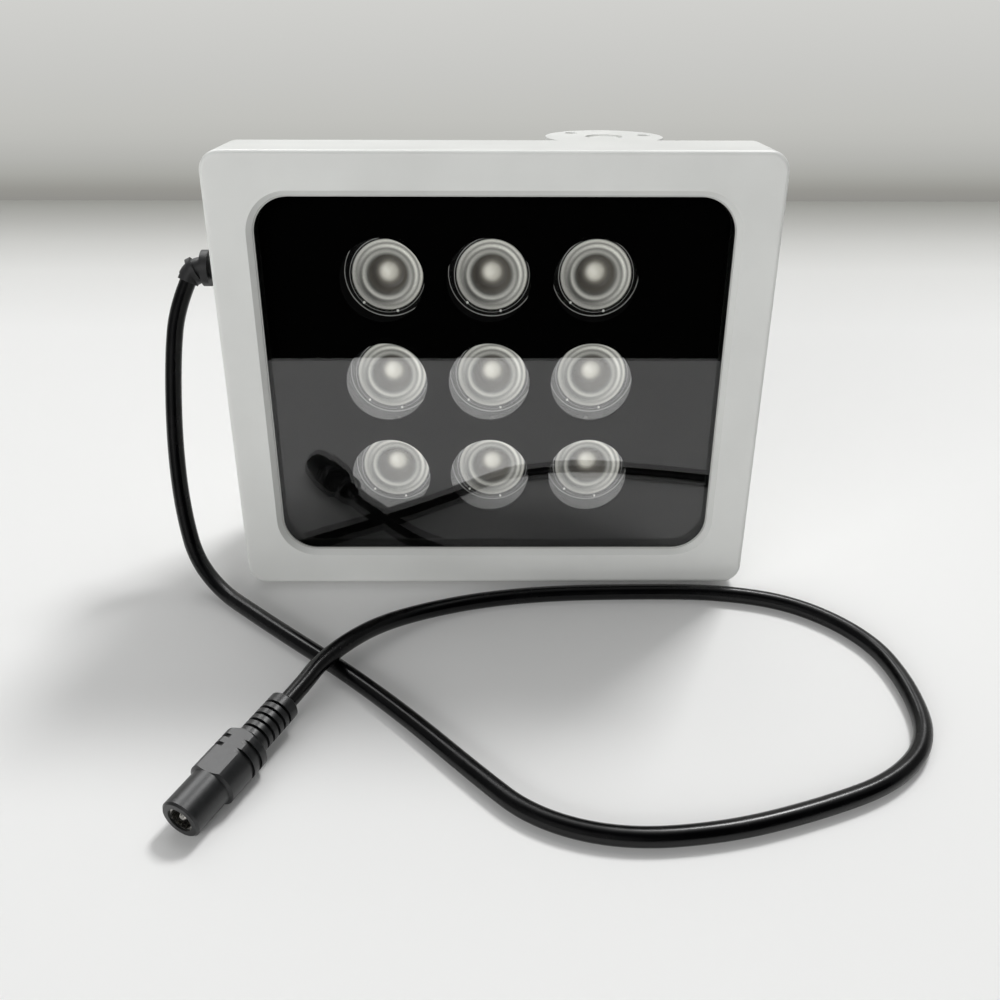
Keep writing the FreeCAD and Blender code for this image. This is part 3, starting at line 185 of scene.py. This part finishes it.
# Polyvinyl chloride, moulded: the socket's charcoal body, with a broad sheen from its matt tool
socket_plastic, tree, shader = finish("charcoal_moulded_pvc", "#131415", 0.36, IOR=1.53)
uneven(tree, shader, 1.2, 4.0, colours=("#0f1011", "#1a1b1c"))
uneven(tree, shader, 0.35, 2.0, dimples=(0.02, 0.6))

# Stainless steel, rolled and pressed: bright grey, with duller patches drawn coarser so that they show
steel, tree, shader = finish("stainless_steel", "#b9bab8", 0.3, Metallic=1.0)
uneven(tree, shader, 0.8, 4.0, roughness=(0.22, 0.38))

# Aluminium, rolled and left bare: pale grey and softly dull
bare_aluminium, tree, shader = finish("bare_aluminium", "#c3c5c6", 0.38, Metallic=1.0)
uneven(tree, shader, 1.0, 4.0, roughness=(0.3, 0.46))

# Painted shade: the bare aluminium plate behind the emitters is drawn matt and dark, as the shade inside the
# lamp
plate_painted_shade, tree, shader = finish("dark_plate_painted_shade", "#0d0d0e", 0.6, Specular_IOR_Level=0.2)

# Brass, nickel plated: the socket's contacts, warm grey and bright
nickel, tree, shader = finish("nickel_plate", "#c8c6c0", 0.25, Metallic=1.0)
uneven(tree, shader, 0.9, roughness=(0.2, 0.32))

# Glass fibre board under a solder mask, black and dull or green and glossy, its weave drawn coarser
boards = {}
for name, low, high, shine in (("black", "#060606", "#0a0a0a", 0.1), ("green", "#12482a", "#1a5934", 0.5)):
    boards[name], tree, shader = finish(f"{name}_solder_mask", low, 0.4, Specular_IOR_Level=shine)
    uneven(tree, shader, 0.9, 2.0, colours=(low, high))

FINISHES = {
    "white_paint": powder_coat,
    "glass": float_glass,
    "black_print": ink,
    "silicone": silicone,
    "painted_steel": powder_coat,
    "lens": clear_acrylic,
    "emitter": epoxy,
    "emitter_board": boards["black"],
    "driver_board": boards["green"],
    "bare_aluminium": bare_aluminium,
    "black_plastic": socket_plastic,
    "steel": steel,
    "black_rubber": rubber,
    "contact": nickel,
}
# The heat plate takes the painted shade in place of its bare aluminium
SHADE_PAINTED_FINISHES = {"heat_plate": plate_painted_shade}
for part in frame["record"]["subparts"]:
    for place in nodes[part["node"]].material_slots:
        place.material = SHADE_PAINTED_FINISHES.get(part["node"], FINISHES[part["material_slot"]])


# Modelling helpers
SHARP_DEGREES = 40
TURN_STEPS = 64


def lamp_piece(name, mesh, materials):
    """Turn a finished bmesh into a smooth piece that rides on the lamp."""
    data = bpy.data.meshes.new(name)
    mesh.to_mesh(data)
    mesh.free()
    for material in materials:
        data.materials.append(material)
    for face in data.polygons:
        face.use_smooth = True
    data.set_sharp_from_angle(angle=math.radians(SHARP_DEGREES))
    piece = bpy.data.objects.new(name, data)
    bpy.context.scene.collection.objects.link(piece)
    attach(piece, LAMP)
    return piece


def turned(profile):
    """Spin a profile of radius and depth pairs, in millimetres, about the Y axis, and close it."""
    mesh = bmesh.new()
    corners = [mesh.verts.new((radius * MM, depth * MM, 0)) for radius, depth in profile]
    edges = [mesh.edges.new(pair) for pair in zip(corners, corners[1:])]
    bmesh.ops.spin(mesh, geom=corners + edges, axis=(0, 1, 0), cent=(0, 0, 0), steps=TURN_STEPS,
                   angle=math.tau, use_merge=True)
    bmesh.ops.remove_doubles(mesh, verts=mesh.verts, dist=1e-6)
    bmesh.ops.recalc_face_normals(mesh, faces=mesh.faces)
    return mesh


def rod(mesh, middle, width, length, segments):
    """Add a closed round rod along the depth, its middle in metres and its sizes in millimetres."""
    bmesh.ops.create_cone(mesh, cap_ends=True, segments=segments, radius1=width / 2 * MM,
                          radius2=width / 2 * MM, depth=length * MM,
                          matrix=Matrix.Translation(middle) @ Matrix.Rotation(math.pi / 2, 4, "X"))


# The lamp's own axes, leaning back on its lower edge, from the middle of its front face
GLASS_DEPTH = 4.1
up = Vector(frame["record"]["mounts"][0]["axis"])
lean = math.atan2(up.y, up.z)
tip_back = Matrix.Rotation(-lean, 4, "X")
glass_low, glass_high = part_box("glass_panel")
front_middle = Matrix.Translation((0, -GLASS_DEPTH * MM, 0))
lamp_axes = Matrix.Translation((glass_low + glass_high) / 2) @ tip_back @ front_middle


# Lenses: a turned cup with its rings, and a clear collar and flange round it on three legs
CUP_PROFILE = [
    (0.0, 3.5), (0.7, 3.56), (1.3, 3.8), (1.9, 4.18), (2.4, 4.4), (4.4, 4.4), (4.65, 4.2), (5.3, 1.5),
    (5.45, 1.15), (5.65, 1.0), (6.3, 1.0), (6.6, 0.95), (8.0, 0.63), (8.3, 0.6), (9.5, 0.6), (9.75, 0.68),
    (CUP_REACH, 0.9), (CUP_REACH, 3.0), (9.2, 3.1), (7.6, 6.6), (4.8, 9.8), (3.1, 9.8), (2.8, 6.8),
    (1.6, 6.4), (0.0, 6.3)]
COLLAR_PROFILE = [
    (9.9, 0.2), (9.94, 0.06), (10.05, 0.0), (10.3, 0.0), (10.44, 0.06), (10.5, 0.2), (10.5, 2.0),
    (12.0, 2.0), (12.15, 2.05), (12.2, 2.2), (12.2, 2.8), (12.15, 2.95), (12.0, 3.0), (9.9, 3.0), (9.9, 0.2)]
LENS_PITCH, LENS_FACE = 28.9, 13.8
# Faces past the rim's reach, and the brim's front faces, carry the painted edge highlight; the two marks at
# the glint's angles carry a painted glint
HIGHLIGHT_RIM_REACH, HIGHLIGHT_BRIM_REACH, HIGHLIGHT_BRIM_DEPTH = 11.98, 10.3, 0.15
LEG_ANGLES, LEG_REACH, LEG_WIDTH, LEG_SIDES = (90, 210, 330), 10.6, 1.6, 16
LEG_START, LEG_END = 3.0, 12.2
GLINT_ANGLES, GLINT_REACH, GLINT_WIDTH = (228, 284), 10.25, 0.75
# The angle, in degrees, from which the painted light on the cup's rings falls
PAINTED_LIGHT_ANGLE = 45


def around_lens(angle, reach, depth):
    """A place on the lens, in metres, from an angle, a reach and a depth in millimetres."""
    turn = math.radians(angle)
    return Vector((reach * math.cos(turn), depth, reach * math.sin(turn))) * MM


def lens_cup():
    """The cup, each corner with its reach and how far it lies on the side lit by the painted light, from 0
    to 1.
    """
    mesh = turned(CUP_PROFILE)
    for name in ("reach", "painted_lit_side"):
        mesh.verts.layers.float.new(name)
    reach, painted_lit_side = (mesh.verts.layers.float[name] for name in ("reach", "painted_lit_side"))
    for corner in mesh.verts:
        corner[reach] = math.hypot(corner.co.x, corner.co.z) / MM / CUP_REACH
        # Painted light: 1 on the side it falls from, 0 on the shaded side
        angle = math.atan2(corner.co.z, corner.co.x) - math.radians(PAINTED_LIGHT_ANGLE)
        corner[painted_lit_side] = 0.5 + 0.5 * math.cos(angle)
    return mesh


def lens_collar():
    """The clear collar with a painted highlight on its edges, its legs, and two round marks painted as a
    glint.
    """
    mesh = turned(COLLAR_PROFILE)
    for face in mesh.faces:
        spot = face.calc_center_median() / MM
        reach = math.hypot(spot.x, spot.z)
        # Painted highlight: the flange's outer rim and the front of the brim are drawn pale grey
        if reach > HIGHLIGHT_RIM_REACH or (reach > HIGHLIGHT_BRIM_REACH and spot.y < HIGHLIGHT_BRIM_DEPTH):
            face.material_index = 2
    for angle in LEG_ANGLES:
        middle = around_lens(angle, LEG_REACH, (LEG_START + LEG_END) / 2)
        rod(mesh, middle, LEG_WIDTH, LEG_END - LEG_START, LEG_SIDES)
    # Painted glint: two raised round marks, drawn near white
    for angle in GLINT_ANGLES:
        made = bmesh.ops.create_uvsphere(mesh, u_segments=12, v_segments=8, radius=GLINT_WIDTH / 2 * MM,
                                         matrix=Matrix.Translation(around_lens(angle, GLINT_REACH, 0)))
        for face in {face for corner in made["verts"] for face in corner.link_faces}:
            face.material_index = 1
    return mesh


# Film, a thin clear disc that shuts each window behind the print
FILM_FACE, FILM_THICKNESS, FILM_WIDTH = 6.5, 0.2, 24.4


def window_film():
    """The film's disc, placed from the lens's front face as the lens is."""
    mesh = bmesh.new()
    middle = Vector((0, FILM_FACE + FILM_THICKNESS / 2 - LENS_FACE, 0)) * MM
    rod(mesh, middle, FILM_WIDTH, FILM_THICKNESS, TURN_STEPS)
    return mesh



# Three by three lenses, which sit a little beside and below their windows' middles
LENS_OFFSET, FILM_OFFSET = (-0.8, -0.25), (-1.6, 0.0)
for order in range(9):
    column, row = order % 3 - 1, 1 - order // 3
    pieces = {}
    for name, mesh, looks, slot, offset in (
            ("lens_cup", lens_cup(), [cup_painted_light], "lens", LENS_OFFSET),
            ("lens_collar", lens_collar(), [clear_acrylic, glint_acrylic, edge_highlight_acrylic], "lens", LENS_OFFSET),
            ("window_film", window_film(), [film], "glass", FILM_OFFSET)):
        spot = Vector((column * LENS_PITCH + offset[0], LENS_FACE, row * LENS_PITCH + offset[1])) * MM
        mesh.transform(lamp_axes @ Matrix.Translation(spot))
        pieces[name] = lamp_piece(f"{name}_{order + 1}", mesh, looks)
        pieces[name].visible_shadow = pieces[name].visible_diffuse = name == "lens_cup"
    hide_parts(f"lens_{order + 1}")

# Light reaches the lenses through the glass and past the print, as a clear lens gathers light,
# and the glass is drawn in by a hair so that no face of it lies in a face of the print
HAIR_GAP = 0.02
for name in ("glass_panel", "window_print"):
    nodes[name].visible_shadow = nodes[name].visible_diffuse = False
hair = nodes["glass_panel"].modifiers.new("hair_gap", "DISPLACE")
hair.mid_level = 0.0
hair.strength = -HAIR_GAP * MM

# Lead, a free cord: out of the strain relief, down to the table, round a loop and over itself.
# Its middle runs at LIE on the table and at OVER where it crosses itself.
LEAD_LENGTH, LEAD_THICKNESS = 0.5595, 0.0048
LIE, OVER = 2.4, 7.9
LEAD = [
    (-91.41, -14.45, 83.44), (-94.87, -17.76, 76.41), (-96.4, -23.8, 64.5), (-97.0, -32.0, 46.5),
    (-96.3, -39.0, 31.5), (-94.4, -45.2, 19.5), (-91.0, -51.6, 9.0), (-82.6, -59.2, LIE),
    (-70.8, -69.8, LIE), (-56.5, -82.2, LIE), (-41.0, -95.2, LIE), (-22.5, -112.8, LIE),
    (-4.2, -132.6, LIE), (8.5, -145.4, LIE), (28.0, -151.7, LIE), (52.0, -149.8, LIE),
    (75.0, -143.2, LIE), (95.5, -134.8, LIE), (108.3, -121.5, LIE), (110.3, -102.5, LIE),
    (106.4, -82.5, LIE), (90.0, -66.0, LIE), (68.0, -59.9, LIE), (42.0, -59.6, LIE),
    (17.0, -60.4, LIE), (-3.0, -63.4, LIE), (-19.0, -69.6, LIE + 1.0), (-31.5, -78.6, LIE + 3.4),
    (-39.6, -88.6, OVER), (-46.6, -98.4, OVER), (-49.58, -105.83, 7.34), (-53.1, -113.0, 7.0)]
line = bpy.data.curves.new("lead", "CURVE")
line.dimensions = "3D"
line.bevel_depth = LEAD_THICKNESS / 2
line.bevel_resolution = 7
line.resolution_u = 10
line.use_fill_caps = True
line.materials.append(sheath)
run = line.splines.new("NURBS")
run.points.add(len(LEAD) - 1)
for point, place in zip(run.points, LEAD):
    point.co = (*(Vector(place) * MM), 1.0)
run.order_u = 3
run.use_endpoint_u = True
lead = bpy.data.objects.new("lead", line)
bpy.context.scene.collection.objects.link(lead)
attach(lead, LAMP)
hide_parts("cable")


# Table and wall, with painted shade that darkens them softly towards where they meet, and a black sheet that
# the glass mirrors as a painted reflection of the dark room
def painted_shade_along(tree, axis, length, shade_bands):
    """Colours that change along one axis, over a length in metres from the origin: here the painted shade of
    table and wall.
    """
    spot = add(tree, "SeparateXYZ", {}, {0: add(tree, "TexCoord").outputs["Object"]}).outputs[axis]
    share = add(tree, "MapRange", {}, {"Value": spot, "From Min": 0.0, "From Max": length})
    return add(tree, "ValToRGB", {}, {"Fac": share.outputs["Result"]}, shade_bands).outputs["Color"]


def seen_as(tree, shader, look):
    """Show a look to the camera and in glass and gloss, while the light meets the plain shader."""
    path = add(tree, "LightPath").outputs
    seen = add(tree, "Math", {"operation": "MAXIMUM"}, {0: path["Is Camera Ray"], 1: path["Is Glossy Ray"]})
    seen = add(tree, "Math", {"operation": "MAXIMUM"}, {0: seen.outputs[0], 1: path["Is Transmission Ray"]})
    chosen = add(tree, "MixShader", {}, {0: seen.outputs[0], 1: shader.outputs[0], 2: look.outputs[0]})
    tree.links.new(chosen.outputs[0], tree.nodes["Material Output"].inputs["Surface"])


def stage_sheet(name, corners, material):
    """A flat sheet of the stage, from its corners in metres."""
    mesh = bmesh.new()
    mesh.faces.new([mesh.verts.new(corner) for corner in corners])
    data = bpy.data.meshes.new(name)
    mesh.to_mesh(data)
    mesh.free()
    data.materials.append(material)
    sheet = bpy.data.objects.new(name, data)
    bpy.context.scene.collection.objects.link(sheet)
    return sheet


def upright(half_width, depth, low, high):
    """The corners of an upright sheet that faces the camera."""
    return [(-half_width, depth, low), (half_width, depth, low), (half_width, depth, high),
            (-half_width, depth, high)]


TABLE_REACH, TABLE_GLOW = 4, 0.05
WALL_DEPTH, WALL_HEIGHT, WALL_REACH, WALL_SHADE_TOP = 0.40, 0.45, 3, 0.13
# The black sheet that the glass mirrors as a painted reflection of the dark room
REFLECTION_SHEET_DEPTH, REFLECTION_SHEET_FOOT, REFLECTION_SHEET_HEIGHT, REFLECTION_SHEET_REACH = -0.355, 0.0005, 0.9, 1.2
# Painted shade: the table darkens as it nears the wall, and the wall darkens as it nears the table
TABLE_PAINTED_SHADE = [
    (0.0, "#e8e8e7"), (0.4, "#e8e8e7"), (0.62, "#dcdcda"), (0.75, "#c7c7c4"), (0.87, "#aaaaa6"),
    (1.0, "#8a8a84")]
WALL_PAINTED_SHADE = [
    (0.0, "#908f8b"), (0.06, "#979691"), (0.14, "#a9a9a4"), (0.22, "#b4b4b0"), (0.32, "#bdbdb9"),
    (0.42, "#c2c2be"), (0.65, "#c8c8c5"), (1.0, "#d1d1ce")]

# Laminate, pressed: the table, white and matt, with painted shade that darkens it towards the wall
table_laminate, tree, shader = finish("white_table_laminate", "#e6e6e5", 0.65, Specular_IOR_Level=0.25)
tree.links.new(painted_shade_along(tree, "Y", WALL_DEPTH, TABLE_PAINTED_SHADE), shader.inputs["Base Color"])
glow = add(tree, "Emission", {}, {"Color": srgb("#ffffff"), "Strength": TABLE_GLOW})
seen_as(tree, shader, add(tree, "AddShader", {}, {0: shader.outputs[0], 1: glow.outputs[0]}))
stage_sheet("table", [(-TABLE_REACH, -TABLE_REACH, 0), (TABLE_REACH, -TABLE_REACH, 0),
                      (TABLE_REACH, TABLE_REACH, 0), (-TABLE_REACH, TABLE_REACH, 0)], table_laminate)

# Wall paint, rolled: pale and flat, with painted shade that darkens it towards the table, and without a
# shadow, because two of the lamps stand behind it
wall_paint, tree, shader = finish("pale_wall", "#c9c9c6", 0.8)
shade_bands = painted_shade_along(tree, "Z", WALL_SHADE_TOP, WALL_PAINTED_SHADE)
seen_as(tree, shader, add(tree, "Emission", {}, {"Color": shade_bands, "Strength": 1.0}))
wall = stage_sheet("wall", upright(WALL_REACH, WALL_DEPTH, 0, WALL_HEIGHT), wall_paint)
wall.visible_shadow = False

# A black sheet, a painted reflection of the dark room: it stands in front of the lamp, beyond the camera,
# and only the glass sees it
painted_dark_reflection, tree, shader = finish("sheet_for_painted_dark_reflection", "#000000", 1.0, Specular_IOR_Level=0.0)
reflection_sheet = stage_sheet("sheet_for_painted_dark_reflection", upright(REFLECTION_SHEET_REACH, REFLECTION_SHEET_DEPTH, REFLECTION_SHEET_FOOT, REFLECTION_SHEET_HEIGHT), painted_dark_reflection)
for sense in ("camera", "diffuse", "shadow", "volume_scatter"):
    setattr(reflection_sheet, f"visible_{sense}", False)


# Light
LAMP_MIDDLE = (0, 0, 0.05)


def soft_light(name, place, aim, width, height, power):
    """A flat lamp that faces its aim, its places and sizes in metres and its power in watts."""
    lamp = bpy.data.lights.new(name, "AREA")
    lamp.shape = "RECTANGLE"
    lamp.size, lamp.size_y = width, height
    lamp.energy = power
    holder = bpy.data.objects.new(name, lamp)
    bpy.context.scene.collection.objects.link(holder)
    holder.location = place
    holder.rotation_euler = (Vector(aim) - Vector(place)).to_track_quat("-Z", "Y").to_euler()
    return holder


soft_light("window_light", (1.12, 1.68, 2.95), LAMP_MIDDLE, 0.75, 0.65, 70.0)
soft_light("sky_light", (0.3, 1.2, 2.6), LAMP_MIDDLE, 3.0, 2.0, 22.0)
soft_light("room_light", (-1.0, -1.7, 0.8), (0, 0, 0.06), 1.8, 0.9, 19.5)

# A lamp for sheen alone, which the socket's flat mirrors to the camera
SOCKET_PLACE = (-0.07, -0.14, 0.01)
glint = soft_light("glint_light", (-0.64, 1.16, 1.42), SOCKET_PLACE, 1.2, 0.9, 20.0)
glint.visible_diffuse = False

# A faint even light from all round, as a pale room gives
world = bpy.data.worlds.new("room")
bpy.context.scene.world = world
world.use_nodes = True
room = world.node_tree.nodes["Background"]
room.inputs["Color"].default_value = srgb("#f1f2f2")
room.inputs["Strength"].default_value = 0.2

# Camera, at the photograph's place and angle: its place and turns are in the lamp's own axes,
# in millimetres from the middle of the front face and in radians
CAMERA_PLACE = Vector((-0.26, -260.2, 93.5))
CAMERA_YAW, CAMERA_PITCH, CAMERA_ROLL = 0.0069, 0.4576, 0.0027
STANDING_EDGE = Vector((0, 22.0, -63.0))
SETBACK = 32.68
FOCAL_PIXELS, IMAGE_PIXELS, SENSOR_WIDTH = 986.1, 1000, 36.0
camera_data = bpy.data.cameras.new("camera")
camera_data.sensor_width = SENSOR_WIDTH
camera_data.lens = FOCAL_PIXELS / IMAGE_PIXELS * SENSOR_WIDTH
camera_data.clip_start = 0.01
camera = bpy.data.objects.new("camera", camera_data)
bpy.context.scene.collection.objects.link(camera)
to_lens = Matrix(((1, 0, 0), (0, 0, -1), (0, 1, 0)))
sight = (Matrix.Rotation(CAMERA_ROLL, 3, "Z") @ Matrix.Rotation(CAMERA_PITCH, 3, "X") @ to_lens
         @ Matrix.Rotation(CAMERA_YAW, 3, "Z"))
tilt = tip_back.to_3x3()
right, down, ahead = (tilt @ Vector(row) for row in sight)
turn = Matrix((right, -down, -ahead)).transposed()
place = tilt @ (CAMERA_PLACE - STANDING_EDGE) - Vector((0, SETBACK, 0))
camera.matrix_world = Matrix.Translation(place * MM) @ turn.to_4x4()
bpy.context.scene.camera = camera
bpy.context.scene.view_settings.view_transform = "Standard"
